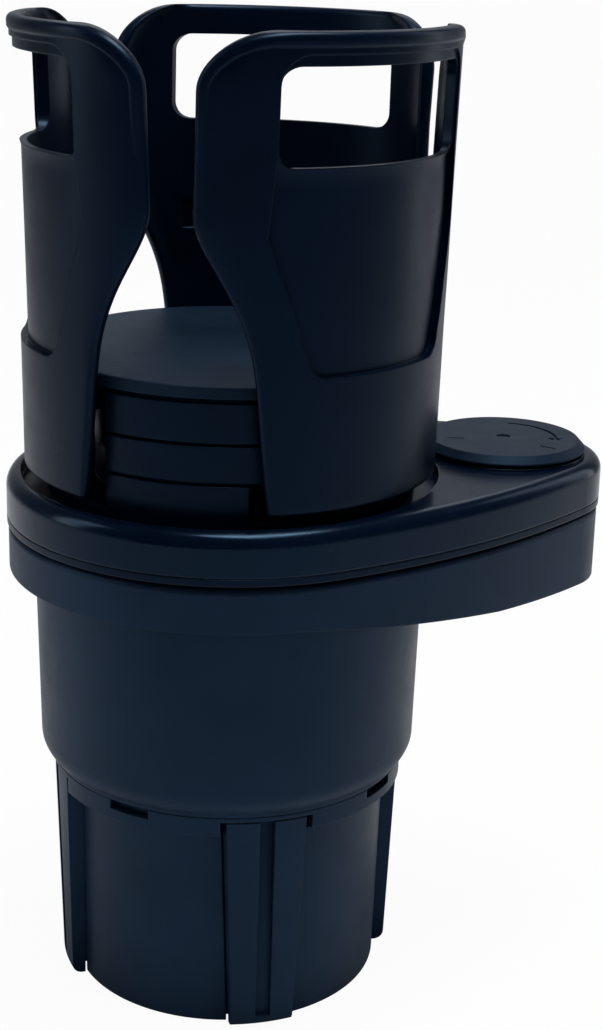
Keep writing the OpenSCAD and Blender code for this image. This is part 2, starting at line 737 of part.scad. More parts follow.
// Swinging deck: a teardrop shell with the arms' well and the pivot's tube
module upper_deck() {
    rim = well_r + shell_wall;
    color(plastic) difference() {
        union() {
            difference() {
                teardrop(0, deck_shell_z, deck_top_z - deck_shell_z, deck_edge);
                teardrop(shell_wall, deck_shell_z - 1, well_under_z - deck_shell_z + 1);
                difference() {
                    teardrop(shell_wall, deck_shell_z, well_z - deck_shell_z);
                    cylinder(h = 200, r = rim);
                }
            }
            translate([pivot_x, 0, deck_shell_z]) cylinder(h = well_z - deck_shell_z + 1, r = pivot_tube_r);
            for (p = concat(deck_ring_at, deck_tip_at)) translate([p[0], p[1], pad_top_z + 0.15])
                cylinder(h = well_under_z - pad_top_z + 1, r = 3.4, $fn = 48);
            for (p = deck_tip_at) translate([p[0], p[1], pad_top_z + 0.15])
                cylinder(h = well_z - pad_top_z, r = 3.4, $fn = 48);
        }
        translate([0, 0, well_z]) cylinder(h = 20, r = well_r);
        translate([pivot_x, 0, pivot_web_top_z]) cylinder(h = 20, r = pivot_tube_bore_r);
        translate([pivot_x, 0, deck_shell_z - 1]) cylinder(h = 20, r = pivot_r + run_gap);
        for (p = concat(deck_ring_at, deck_tip_at)) translate([p[0], p[1], deck_shell_z])
            cylinder(h = 5.4, r = screw_r + screw_gap, $fn = 48);
        for (i = [0:arm_count - 1]) rotate([0, 0, arm_pitch * i]) translate([drum_screw_x, 0, well_z - 10])
            cylinder(h = 20, r = drum_screw_r + screw_gap, $fn = 48);
    }
}

// Thin ring let onto the deck round the knob
module pivot_ring() {
    color(plastic) translate([pivot_x, 0, 0]) ring(pivot_x - well_r - 0.15, knob_r - 1.1,
        deck_top_z, knob_ring_h);
}

// Flat cover under the deck
module deck_cover() {
    color(plastic) difference() {
        union() {
            teardrop(0, deck_low_z, cover_t);
            for (p = concat(deck_ring_at, deck_tip_at)) translate([p[0], p[1], deck_low_z])
                cylinder(h = cover_t + pad_t, r = 3.6, $fn = 48);
        }
        translate([pivot_x, 0, deck_low_z - 1]) cylinder(h = 5, r = pivot_r + slide_gap);
        for (p = concat(deck_ring_at, deck_tip_at)) translate([p[0], p[1], deck_low_z - 1]) {
            cylinder(h = 6, r = screw_r + screw_gap, $fn = 48);
            cylinder(h = 2.5, r = 2.6, $fn = 48);
        }
    }
}

module deck_screws() {
    color(metal) for (p = concat(deck_ring_at, deck_tip_at))
        screw(p, deck_low_z + 1.5, 4.2, screw_r, 2.4, 1.3);
}

// Puts children on each of the drum's lobes, which stand between the arms
module at_lobes() {
    for (i = [0:arm_count - 1]) rotate([0, 0, arm_pitch * i]) children();
}

// One step of the drum: a core with three lobes, and a groove round the top of its outer face
module drum_solid(z, top, cut) {
    rotate([0, 0, 35]) ring(core_r, core_bore_r, z, top - z);
    at_lobes() rotate([0, 0, -lobe_half]) rotate_extrude(angle = 2 * lobe_half - cut)
        polygon([[core_r - 1, z], [drum_r, z], [drum_r, top - groove_h],
            [drum_r - step_groove, top - groove_h], [drum_r - step_groove, top], [core_r - 1, top]]);
}

// The screw holes and the hollows of one step
module drum_holes(z, top, bolt_top) {
    at_lobes() {
        translate([drum_screw_x, 0, z - 1]) cylinder(h = bolt_top - z + 1, r = drum_screw_r + screw_gap,
            $fn = 48);
        for (s = [-1, 1]) rotate([0, 0, s * 12])
            block([core_r + 2, -3.2, z - 1], [drum_r - 3.3, 3.2, top - 2]);
    }
}

module drum_base() {
    color(plastic) difference() {
        union() {
            rotate([0, 0, 35]) ring(drum_r - 0.4, core_bore_r + 1, drum_z, base_plate_t);
            drum_solid(drum_z, step_1_z, lobe_cut);
        }
        drum_holes(drum_z, step_1_z, step_1_z + 1);
    }
}

module drum_middle() {
    color(plastic) difference() {
        union() {
            drum_solid(step_1_z, step_2_z, 0);
            ring(core_bore_r + 1.5, cam_shaft_r + run_gap, step_2_z - bearing_t, bearing_t);
        }
        drum_holes(step_1_z, step_2_z, step_2_z + 1);
    }
}

// Upper step, cut through where the arms' tongues slide, with a small stop beside each lobe
module drum_upper() {
    color(plastic) difference() {
        union() {
            drum_solid(step_2_z, step_3_z, 0);
            at_lobes() sector(drum_r - 1.6, drum_r - 4, -lobe_half - tab_turn, -lobe_half + 2,
                step_3_z - tab_h, tab_h - groove_h - 0.2);
        }
        drum_holes(step_2_z, step_3_z, step_3_z - 2.2);
        at_arms() block([core_bore_r - 6, -arm_tongue_half - slide_gap, step_2_z - 1],
            [arm_r_low, arm_tongue_half + slide_gap, arm_cam_z - 0.05]);
    }
}

module drum_screws() {
    color(metal) at_lobes() screw([drum_screw_x, 0], well_under_z, step_3_z - 3 - well_under_z,
        drum_screw_r, 3, 2.2);
}

// Cam whose three spiral slots push the arms out, on a shaft in the drum's middle step
module arm_cam() {
    color(plastic) difference() {
        union() {
            translate([0, 0, arm_cam_z]) cylinder(h = cam_t, r = arm_cam_r);
            translate([0, 0, step_2_z - bearing_t - 0.1]) cylinder(h = arm_cam_z - step_2_z + bearing_t + 0.2,
                r = cam_shaft_r);
        }
        at_arms() spiral_slot(arm_pin_x, arm_lead, -arm_turn, 0, drive_pin_r + 0.3,
            arm_cam_z - 1, cam_t + 2);
        translate([0, 0, step_2_z - 10]) cylinder(h = 30, r = drum_screw_r + screw_gap, $fn = 48);
    }
}

module cam_screw() {
    z = step_2_z - bearing_t - 0.1;
    color(metal) screw([0, 0], z, floor_z - 1.2 - z, drum_screw_r, 7, 1.6);
}

// Floor of the upper cup, turned by hand to move the arms
module floor_disc() {
    color(plastic_matt) difference() {
        union() {
            translate([0, 0, disc_z]) round_plate(drum_r, floor_z - disc_z, 0.5);
            translate([0, 0, arm_cam_top_z]) cylinder(h = disc_z - arm_cam_top_z + 0.5, r = disc_hub_r);
        }
        translate([0, 0, arm_cam_top_z - 1]) cylinder(h = floor_z - arm_cam_top_z, r = drum_screw_r + screw_gap,
            $fn = 48);
    }
}

// Puts children at every arm
module at_arms() {
    for (i = [0:arm_count - 1]) rotate([0, 0, 180 + arm_pitch * i]) children();
}

// How far an arm has widened at height z, from 0 at its waist to 1 at its shoulder
function widened(z) = min(1, max(0, (z - waist_z) / (shoulder_z - waist_z)));
function side_line(z) = arm_half_low + (arm_half_line - arm_half_low)
    * (min(z, shoulder_z) - arm_low_z) / (shoulder_z - arm_low_z);
function arm_side(z) = side_line(z) + (arm_half_high - side_line(z)) * eased(pow(widened(z), 1.6));
function corner_rise(z) = max(0, z - (arm_top_z - arm_corner));
function arm_half(z) = arm_side(z) - (arm_corner - sqrt(max(0, pow(arm_corner, 2) - pow(corner_rise(z), 2))));
function arm_lean(z) = pow((z - arm_low_z) / (arm_top_z - arm_low_z), 1.5);
function arm_r(z) = arm_r_low + (arm_r_high - arm_r_low) * arm_lean(z);
function bend(z) = bend_low + (bend_high - bend_low) * widened(z);

// Points of one level of an arm, from the middle of its outer face round to its inner face.
// trim draws every face in by that much, for the rounded ends.
arc_steps = 9;
bend_steps = 4;
function arm_level(z, bead, trim) = let(
        r = arm_r(z) + bead - trim,
        half = arm_half(z) - trim,
        len = bend(z),
        start = asin(half / r) - 0.85 * len / r * 180 / PI,
        sweep = len / bend_r * 180 / PI,
        centre = polar(r - bend_r, start),
        wall = arm_wall + bead - 2 * trim,
        outer = [for (i = [0:arc_steps]) polar(r, start * i / arc_steps)],
        outer_bend = [for (i = [1:bend_steps]) centre + polar(bend_r, start + sweep * i / bend_steps)],
        inner_bend = [for (i = [bend_steps:-1:1])
            centre + polar(bend_r - wall, start + sweep * i / bend_steps)],
        inner = [for (i = [arc_steps:-1:0]) polar(r - wall, start * i / arc_steps)],
        half_loop = concat(outer, outer_bend, inner_bend, inner),
        n = len(half_loop))
    concat(half_loop, [for (i = [n - 2:-1:1]) [half_loop[i][0], -half_loop[i][1]]]);

// Heights of the arm's levels, each with the bead's stand-out and the trim of its rounded end
arm_levels = concat(
    [[arm_low_z, 0, 0.8], [arm_low_z + 0.3, 0, 0.25], [arm_low_z + 1, 0, 0]],
    [for (i = [1:3]) [arm_low_z + (waist_z - arm_low_z) * i / 4, 0, 0]],
    [for (i = [0:12]) [waist_z + (shoulder_z - waist_z) * i / 12, 0, 0]],
    [for (i = [1:3]) [shoulder_z + (arm_top_z - arm_corner - shoulder_z) * i / 3, 0, 0]],
    [for (z = [arm_top_z - arm_corner + 3, arm_top_z - bead_h - 0.5]) [z, 0, 0]],
    [[arm_top_z - bead_h, bead_out, 0]],
    [for (d = [3.6, 2.4, 1.5]) [arm_top_z - d, bead_out, 0]],
    [[arm_top_z - 0.8, bead_out, 0.2], [arm_top_z - 0.3, bead_out, 0.6], [arm_top_z, bead_out, 1.2]]);

// Solid arm along +X, before its window and panel are cut
module arm_solid() {
    loops = [for (l = arm_levels) arm_level(l[0], l[1], l[2])];
    n = len(loops[0]);
    last = len(loops) - 1;
    points = [for (i = [0:last]) for (p = loops[i]) [p[0], p[1], arm_levels[i][0]]];
    sides = [for (i = [0:last - 1]) for (j = [0:n - 1])
        [i * n + j, i * n + (j + 1) % n, (i + 1) * n + (j + 1) % n, (i + 1) * n + j]];
    split = [for (q = sides) each [[q[2], q[1], q[0]], [q[3], q[2], q[0]]]];
    h = n / 2 + 1;
    function other(j) = (n - j) % n;
    caps = [for (i = [0:h / 2 - 2]) each [
        [i, i + 1, h - 2 - i], [i, h - 2 - i, h - 1 - i],
        [other(i + 1), other(i), other(h - 1 - i)], [other(i + 1), other(h - 1 - i), other(h - 2 - i)]]];
    high_caps = [for (t = caps) [t[2] + last * n, t[1] + last * n, t[0] + last * n]];
    polyhedron(points, concat(split, caps, high_caps));
}

// Outline of a window across an arm, as seen from outside
module window_outline(grow = 0) {
    c = window_corner;
    for (s = [-1, 1]) for (z = [window_low_z + c, window_top_z - c])
        translate([s * (window_half - c), z]) circle(c, $fn = 32);
    translate([-window_half + c, window_low_z]) square([2 * (window_half - c), window_top_z - window_low_z]);
    translate([-window_half, window_low_z + c])
        square([2 * window_half, window_top_z - window_low_z - 2 * c]);
}

// Outline of the sunken panel: as wide as the window, then narrowing to a rounded foot
module panel_outline() {
    c = 4.5;
    wide = window_half + 1.4;
    polygon([[-window_half, window_low_z + 2], [-wide, panel_waist_z], [-panel_half_low, panel_low_z + c],
        [-panel_half_low + c, panel_low_z], [panel_half_low - c, panel_low_z],
        [panel_half_low, panel_low_z + c], [wide, panel_waist_z], [window_half, window_low_z + 2]]);
    for (s = [-1, 1]) translate([s * (panel_half_low - c), panel_low_z + c]) circle(c, $fn = 48);
}

// Space outside the sunken panel's face, which leans with the arm
module panel_space() {
    rotate_extrude() polygon(concat(
        [for (i = [0:6]) let(z = panel_low_z - 1 + (window_low_z + 4 - panel_low_z) * i / 6)
            [arm_r(z) - panel_deep, z]],
        [[2 * arm_r_low, window_low_z + 3], [2 * arm_r_low, panel_low_z - 1]]));
}

// One arm along +X, with its window, panel, inner pockets, ribs, tongue and drive pin
module arm_shape() {
    reach = arm_r(rib_low_z) - 1.6;
    difference() {
        arm_solid();
        translate([arm_r_low / 2, 0, 0]) rotate([90, 0, 90]) linear_extrude(arm_r_low) window_outline();
        intersection() {
            translate([arm_r_low / 2, 0, 0]) rotate([90, 0, 90]) linear_extrude(arm_r_low) panel_outline();
            panel_space();
        }
        for (s = [-1, 1]) rotate([0, 0, s * pocket_turn])
            block([core_r, -2, pocket_z], [arm_r(pocket_z) - arm_wall + pocket_deep, 2, pocket_z + 6.6]);
    }
    block([arm_pin_x - 2.5, -arm_tongue_half, arm_tongue_z],
        [reach, arm_tongue_half, arm_tongue_z + arm_tongue_t]);
    for (s = [-1, 1]) translate([0, s * (arm_tongue_half - 1.1), 0])
        block([rib_x, -1.1, rib_low_z], [reach, 1.1, arm_tongue_z + 0.5]);
    translate([arm_pin_x, 0, arm_tongue_z]) cylinder(h = arm_cam_top_z - 0.2 - arm_tongue_z,
        r = drive_pin_r, $fn = 48);
}

module arm(i) {
    color(plastic) rotate([0, 0, 180 + arm_pitch * i]) arm_shape();
}

module arm_1() { arm(0); }
module arm_2() { arm(1); }
module arm_3() { arm(2); }

base_sleeve();
bottom_cover();
cover_screws();
guide_plate();
foot_1();
foot_2();
foot_3();
foot_4();
foot_cam();
foot_dial();
dial_screw();
lower_cup();
lower_housing();
housing_top();
housing_screws();
pivot_pin();
pivot_washer();
pivot_screw();
pivot_knob();
upper_deck();
pivot_ring();
deck_cover();
deck_screws();
drum_base();
drum_middle();
drum_upper();
drum_screws();
arm_cam();
cam_screw();
floor_disc();
arm_1();
arm_2();
arm_3();
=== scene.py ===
"""Looks of a two-place car cup holder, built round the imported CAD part. Sizes are in metres."""

import math

import bpy
from bpy.props import FloatProperty, FloatVectorProperty, IntProperty, PointerProperty
from mathutils import Matrix, Vector


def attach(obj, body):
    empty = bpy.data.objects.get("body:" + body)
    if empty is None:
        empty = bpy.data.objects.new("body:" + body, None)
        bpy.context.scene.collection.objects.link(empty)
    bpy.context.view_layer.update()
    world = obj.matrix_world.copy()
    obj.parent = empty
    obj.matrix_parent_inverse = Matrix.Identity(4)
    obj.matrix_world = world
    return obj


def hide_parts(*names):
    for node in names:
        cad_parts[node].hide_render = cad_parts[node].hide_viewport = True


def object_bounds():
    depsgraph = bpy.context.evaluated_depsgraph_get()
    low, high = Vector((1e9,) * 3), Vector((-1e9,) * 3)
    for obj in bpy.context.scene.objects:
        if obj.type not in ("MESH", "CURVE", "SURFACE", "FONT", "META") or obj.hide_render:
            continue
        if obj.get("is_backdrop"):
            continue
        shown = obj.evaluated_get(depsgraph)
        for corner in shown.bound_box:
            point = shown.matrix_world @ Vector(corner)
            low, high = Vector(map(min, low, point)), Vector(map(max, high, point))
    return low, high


bl_info = {
    "name": "Car cup holder looks",
    "version": (1, 0, 0),
    "blender": (4, 5, 0),
    "location": "3D View > Sidebar > Cup holder",
    "description": "Builds the arms, the finishes and the stage of a two-place car cup holder",
    "category": "Object",
}

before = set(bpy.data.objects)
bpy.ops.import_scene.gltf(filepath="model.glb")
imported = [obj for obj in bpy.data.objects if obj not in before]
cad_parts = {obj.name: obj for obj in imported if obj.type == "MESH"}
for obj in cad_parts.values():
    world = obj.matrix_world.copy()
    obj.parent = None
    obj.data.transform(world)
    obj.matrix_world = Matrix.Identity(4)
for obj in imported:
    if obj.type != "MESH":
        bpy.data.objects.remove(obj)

GLOSS_NODES = ("housing_top", "upper_deck", "pivot_ring")
SATIN_NODES = ("deck_cover", "drum_base", "drum_middle", "drum_upper", "arm_cam")
CUP_NODES = (
    "base_sleeve", "foot_1", "foot_2", "foot_3", "foot_4", "foot_cam", "lower_cup", "lower_housing",
)
MATT_NODES = ("pivot_knob", "floor_disc", "foot_dial", "guide_plate", "bottom_cover")
NYLON_NODES = ("pivot_washer",)
STEEL_NODES = (
    "cover_screws", "dial_screw", "housing_screws", "pivot_pin", "pivot_screw", "deck_screws",
    "drum_screws", "cam_screw",
)

# The tongue, ribs and drive pin of an arm, which the drum hides
TONGUE_HALF = 0.007
TONGUE_Z = (0.1313, 0.1343)
TONGUE_START = 0.0115
RIB_AT, RIB_HALF = 0.0059, 0.0011
RIB_Z = (0.12, 0.1318)
RIB_START = 0.0316
PIN_AT, PIN_R = 0.014, 0.0016
PIN_Z = (0.1335, 0.1378)
PIN_SIDES = 32
INTO_WALL = 0.0018

# Rounding of an arm's foot and of its rim, and the ends of its curled sides
FOOT_ROUND = 0.0008
RIM_ROUND = 0.0011

# Half width and height of the sunken panel's side, between its waist and its foot
PANEL_SIDE = ((0.0243, 0.166), (0.0219, 0.1595), (0.0200, 0.1525))
PANEL_CORNER = 0.0045

# Painted shade in gaps: how far apart something has to be for the gloss on a face to stay full
SHADE_REACH = 0.012
# Share of plain white that the camera sees on the floor. The rest shows its shadow
FLOOR_WHITE = 0.96


def length(name, description, default):
    """A length that the panel shows in the scene's units."""
    return FloatProperty(name=name, description=description, default=default, min=0.0,
                         unit="LENGTH", precision=5)


def colour(name, description, default):
    """A linear colour with the usual picker."""
    return FloatVectorProperty(name=name, description=description, default=default, size=3,
                               min=0.0, max=1.0, subtype="COLOR")


class CupHolderArms(bpy.types.PropertyGroup):
    """Sizes of the three arms."""

    r_low: length("Foot radius", "Outside radius at the foot", 0.0439)
    r_high: length("Rim radius", "Outside radius at the rim, before its bead", 0.0455)
    wall: length("Wall", "Thickness of an arm", 0.0028)
    turn: FloatProperty(name="Turn", description="Turn of an arm's shell about the cup's axis",
                        default=math.radians(-1.5), subtype="ANGLE")
    low: length("Foot height", "Height of the foot", 0.1174)
    top: length("Rim height", "Height of the rim", 0.2091)
    half_high: length("Half width at rim", "Half the width near the rim", 0.0359)
    half_line: length("Half width of the lean",
                      "Half width near the rim if only the foot's lean went on", 0.0297)
    half_low: length("Half width at foot", "Half the width at the foot", 0.02461)
    waist: length("Waist height", "Height where an arm starts to widen", 0.140)
    shoulder: length("Shoulder height", "Height of the full width", 0.176)
    corner: length("Corner", "Radius of the top corners", 0.011)
    bead_out: length("Bead", "How far the rim's bead stands out", 0.0004)
    bead_w: length("Bead width", "Width of the rim's bead", 0.0029)
    bead_end: length("Bead end", "Height where the bead has faded out down the sides", 0.182)
    bend_r: length("Curl radius", "Radius that the sides curl in with", 0.015)
    bend_high: length("Curl at rim", "Width of the curl near the rim", 0.0074)
    bend_low: length("Curl at foot", "Width of the curl at the foot", 0.0024)
    window_half: length("Window half width", "Half the width of a window", 0.0247)
    window_low: length("Window foot", "Height of a window's lower edge", 0.1844)
    window_top: length("Window head", "Height of a window's upper edge", 0.2028)
    window_corner: length("Window corner", "Radius of a window's corners", 0.0036)
    panel_deep: length("Panel depth", "Depth of the sunken panel", 0.0015)
    panel_half_low: length("Panel half width", "Half the panel's width at its foot", 0.01862)
    panel_low: length("Panel foot", "Height of the panel's lower end", 0.1444)
    panel_waist: length("Panel waist", "Height where the panel starts to narrow", 0.172)
    frame_deep: length("Frame depth", "Depth of the step over a window", 0.0006)
    frame_w: length("Frame width", "Width of the step over a window", 0.0022)
    pocket_low: length("Pocket height", "Height of the inner pockets' lower edge", 0.160)
    pocket_high: length("Pocket size", "Height of the inner pockets", 0.0066)
    pocket_wide: length("Pocket width", "Width of the inner pockets", 0.0044)
    pocket_deep: length("Pocket depth", "Depth of the inner pockets", 0.00065)
    arc_steps: IntProperty(name="Arc steps", description="Facets from the middle to the curl",
                           default=40, min=8, max=120)


class CupHolderFinish(bpy.types.PropertyGroup):
    """Colours and surface of the plastics and the metal."""

    dark: colour("Plastic", "Colour of the moulded plastic", (0.0005, 0.0030, 0.0098))
    light: colour("Plastic, worn", "Colour of the plastic's rubbed edges", (0.010, 0.020, 0.036))
    # Lighter than the plastic: painted light standing in for light bounced from the floor onto the
    # lower cup and plug
    cup: colour("Lower cup", "Colour of the lower cup and the plug", (0.0066, 0.0158, 0.0325))
    matt: colour("Matt plastic", "Colour of the knob and the floor disc", (0.0040, 0.0095, 0.0190))
    steel: colour("Steel", "Colour of the screws", (0.52, 0.53, 0.55))
    gloss_rough: FloatProperty(name="Gloss roughness", description="Roughness of the deck",
                               default=0.2, min=0.05, max=1.0, subtype="FACTOR")
    satin_rough: FloatProperty(name="Satin roughness", description="Roughness of the other shells",
                               default=0.32, min=0.05, max=1.0, subtype="FACTOR")
    matt_rough: FloatProperty(name="Matt roughness", description="Roughness of the matt pieces",
                              default=0.5, min=0.05, max=1.0, subtype="FACTOR")
    edge: length("Edge rounding", "Radius of the softened edges", 0.0005)


class CupHolderStage(bpy.types.PropertyGroup):
    """Camera and light."""

    eye: FloatVectorProperty(name="Camera", description="Where the camera stands",
                             default=(-0.10638, -0.38554, 0.23103), size=3, subtype="TRANSLATION")
    yaw: FloatProperty(name="Yaw", description="Turn of the camera about the vertical",
                       default=math.radians(-17.629), subtype="ANGLE")
    pitch: FloatProperty(name="Pitch", description="How far the camera looks down",
                         default=math.radians(17.545), subtype="ANGLE")
    roll: FloatProperty(name="Roll", description="Roll of the camera",
                        default=math.radians(1.45), subtype="ANGLE")
    focal: FloatProperty(name="Focal length", description="Focal length for a 36 mm sensor, in mm",
                         default=67.69, min=10.0, max=300.0)
    floor: colour("Floor", "Colour of the floor", (0.86, 0.86, 0.87))
    key: FloatProperty(name="Light", description="Level of all lamps", default=1.0, min=0.0, max=10.0)


def math_node(tree, kind, a, b=None):
    """A maths node whose inputs are sockets or numbers."""
    made = tree.nodes.new("ShaderNodeMath")
    made.operation = kind
    for socket, value in zip(made.inputs, (a, b)):
        if value is None:
            continue
        if isinstance(value, (int, float)):
            socket.default_value = value
        else:
            tree.links.new(value, socket)
    return made.outputs[0]


def noise(tree, place, scale, detail=2.0, rough=0.5):
    """Value of a noise whose scale is in features per metre."""
    made = tree.nodes.new("ShaderNodeTexNoise")
    made.inputs["Scale"].default_value = scale
    made.inputs["Detail"].default_value = detail
    made.inputs["Roughness"].default_value = rough
    tree.links.new(place, made.inputs["Vector"])
    return made.outputs["Fac"]


def spread(tree, value, low, high, new_low, new_high):
    """Maps a value from one range to another, held inside it."""
    made = tree.nodes.new("ShaderNodeMapRange")
    made.inputs["From Min"].default_value = low
    made.inputs["From Max"].default_value = high
    made.inputs["To Min"].default_value = new_low
    made.inputs["To Max"].default_value = new_high
    tree.links.new(value, made.inputs["Value"])
    return made.outputs["Result"]


def blend(tree, share, a, b):
    """Mixes two colours, each a tuple or a socket."""
    made = tree.nodes.new("ShaderNodeMix")
    made.data_type = "RGBA"
    tree.links.new(share, made.inputs["Factor"])
    for name, value in (("A", a), ("B", b)):
        socket = [s for s in made.inputs if s.name == name and s.type == "RGBA"][0]
        if isinstance(value, tuple):
            socket.default_value = (*value, 1.0)
        else:
            tree.links.new(value, socket)
    return [s for s in made.outputs if s.type == "RGBA"][0]


def bump(tree, height, strength, distance, normal=None):
    """Raises the surface by a height between 0 and 1 times distance."""
    made = tree.nodes.new("ShaderNodeBump")
    made.inputs["Strength"].default_value = strength
    made.inputs["Distance"].default_value = distance
    tree.links.new(height, made.inputs["Height"])
    if normal is not None:
        tree.links.new(normal, made.inputs["Normal"])
    return made.outputs["Normal"]


def edges(tree, radius):
    """A softened normal, and a mask that is 1 on rubbed edges."""
    soft = tree.nodes.new("ShaderNodeBevel")
    soft.samples = 6
    soft.inputs["Radius"].default_value = radius
    plain = tree.nodes.new("ShaderNodeNewGeometry")
    dot = tree.nodes.new("ShaderNodeVectorMath")
    dot.operation = "DOT_PRODUCT"
    tree.links.new(soft.outputs["Normal"], dot.inputs[0])
    tree.links.new(plain.outputs["Normal"], dot.inputs[1])
    return soft.outputs["Normal"], spread(tree, dot.outputs["Value"], 0.97, 0.75, 0.0, 1.0)


def new_material(name):
    """An empty material, its tree, its shader and its object coordinates."""
    material = bpy.data.materials.new(name)
    material.use_nodes = True
    tree = material.node_tree
    shader = tree.nodes["Principled BSDF"]
    place = tree.nodes.new("ShaderNodeTexCoord").outputs["Object"]
    return material, tree, shader, place


def plastic(name, dark, worn, roughness, grain, radius, specular=0.22):
    """Moulded plastic: grain, flow marks, uneven gloss, dust, rubbed edges; painted shade dims gloss
    in gaps.
    """
    material, tree, shader, place = new_material(name)
    link = tree.links.new
    slow = noise(tree, place, 38.0, 3.0, 0.55)
    flow = noise(tree, place, 210.0, 4.0, 0.6)
    fine = noise(tree, place, 2600.0, 2.0, 0.5)
    dust = noise(tree, place, 5200.0, 1.0, 0.5)
    soft, rubbed = edges(tree, radius)
    pale = tuple(c * 1.7 for c in dark)
    base = blend(tree, spread(tree, slow, 0.3, 0.7, 0.0, 1.0), dark, pale)
    patch = math_node(tree, "MULTIPLY", rubbed, spread(tree, flow, 0.35, 0.65, 0.15, 0.85))
    base = blend(tree, patch, base, worn)
    specks = math_node(tree, "MULTIPLY", spread(tree, dust, 0.74, 0.8, 0.0, 1.0),
                       spread(tree, slow, 0.4, 0.6, 0.0, 0.25))
    base = blend(tree, specks, base, tuple(min(1.0, c * 8.0) for c in worn))
    link(base, shader.inputs["Base Color"])
    uneven = math_node(tree, "ADD", spread(tree, slow, 0.3, 0.7, -0.05, 0.06),
                       spread(tree, flow, 0.3, 0.7, -0.03, 0.03))
    link(math_node(tree, "ADD", uneven, roughness), shader.inputs["Roughness"])
    normal = bump(tree, flow, 0.10, 0.0002, soft)
    normal = bump(tree, fine, grain, 0.00003, normal)
    link(normal, shader.inputs["Normal"])
    # Painted shade: ambient occlusion lowers the gloss in gaps and recesses, where shade falls
    shade = tree.nodes.new("ShaderNodeAmbientOcclusion")
    shade.samples = 8
    shade.inputs["Distance"].default_value = SHADE_REACH
    painted_gap_shade = spread(tree, shade.outputs["AO"], 0.25, 0.75, 0.0, specular)
    link(painted_gap_shade, shader.inputs["Specular IOR Level"])
    shader.inputs["Specular Tint"].default_value = (0.32, 0.62, 1.0, 1.0)
    shader.inputs["IOR"].default_value = 1.5
    return material


def plated_steel(name, base_colour, radius):
    """Zinc-plated steel: a mottled plating of uneven gloss, fine grain and rubbed edges."""
    material, tree, shader, place = new_material(name)
    link = tree.links.new
    mottled = noise(tree, place, 900.0, 4.0, 0.6)
    fine = noise(tree, place, 6000.0, 2.0, 0.5)
    soft, rubbed = edges(tree, radius)
    dull = tuple(c * 0.62 for c in base_colour)
    base = blend(tree, spread(tree, mottled, 0.35, 0.65, 0.0, 1.0), dull, base_colour)
    base = blend(tree, math_node(tree, "MULTIPLY", rubbed, 0.5), base, (0.75, 0.75, 0.76))
    link(base, shader.inputs["Base Color"])
    link(spread(tree, mottled, 0.3, 0.7, 0.42, 0.26), shader.inputs["Roughness"])
    link(bump(tree, fine, 0.2, 0.00002, soft), shader.inputs["Normal"])
    shader.inputs["Metallic"].default_value = 1.0
    return material


def dress(nodes, material):
    """Gives CAD nodes one material on all their slots."""
    for name in nodes:
        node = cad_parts[name]
        if node.data.materials:
            for i in range(len(node.data.materials)):
                node.data.materials[i] = material
        else:
            node.data.materials.append(material)


def polar(r, a):
    """Point at radius r and angle a."""
    return Vector((r * math.cos(a), r * math.sin(a)))


def widened(a, z):
    """How far an arm has widened at height z, from 0 at the waist to 1 at the shoulder."""
    return min(1.0, max(0.0, (z - a.waist) / (a.shoulder - a.waist)))


def half_width(a, z):
    """Half the width of an arm at height z: a straight lean, eased out to the shoulder's width."""
    climb = a.half_line - a.half_low
    lean = a.half_low + climb * (min(z, a.shoulder) - a.low) / (a.shoulder - a.low)
    w = widened(a, z) ** 1.6
    side = lean + (a.half_high - lean) * w * w * (3 - 2 * w)
    rise = max(0.0, z - (a.top - a.corner))
    return side - (a.corner - math.sqrt(max(0.0, a.corner ** 2 - rise ** 2)))


def arm_radius(a, z):
    """Outside radius of an arm at height z."""
    return a.r_low + (a.r_high - a.r_low) * max(0.0, (z - a.low) / (a.top - a.low)) ** 1.5


def curl_start(a, z):
    """Width of the curl at height z, and the angle where it starts."""
    curl = a.bend_low + (a.bend_high - a.bend_low) * widened(a, z)
    r = arm_radius(a, z)
    return curl, math.asin(half_width(a, z) / r) - 0.85 * curl / r


def skin(a, along, z, out):
    """Point at height z, along the outer face from its middle, and out from that face."""
    r = arm_radius(a, z)
    curl, start = curl_start(a, z)
    angle = abs(along) / r
    if angle <= start:
        p = polar(r + out, angle)
    else:
        bent = start + (abs(along) - start * r) / a.bend_r
        p = polar(r - a.bend_r, start) + polar(a.bend_r + out, bent)
    return (p.x, math.copysign(p.y, along), z)


def bead_path(a):
    """Half of the arm's outline, from the middle of its rim down its side, as along and height."""
    def edge(z):
        curl, start = curl_start(a, z)
        return start * arm_radius(a, z) + curl

    end = edge(a.top)
    path = [(end * i / 24, a.top) for i in range(24)]
    turns = [math.pi / 2 * i / 20 for i in range(21)]
    path += [(edge(z), z) for z in (a.top - a.corner * (1 - math.cos(t)) for t in turns)]
    low = a.top - a.corner
    return path + [(edge(z), z) for z in (low + (a.bead_end - low) * i / 14 for i in range(1, 15))]


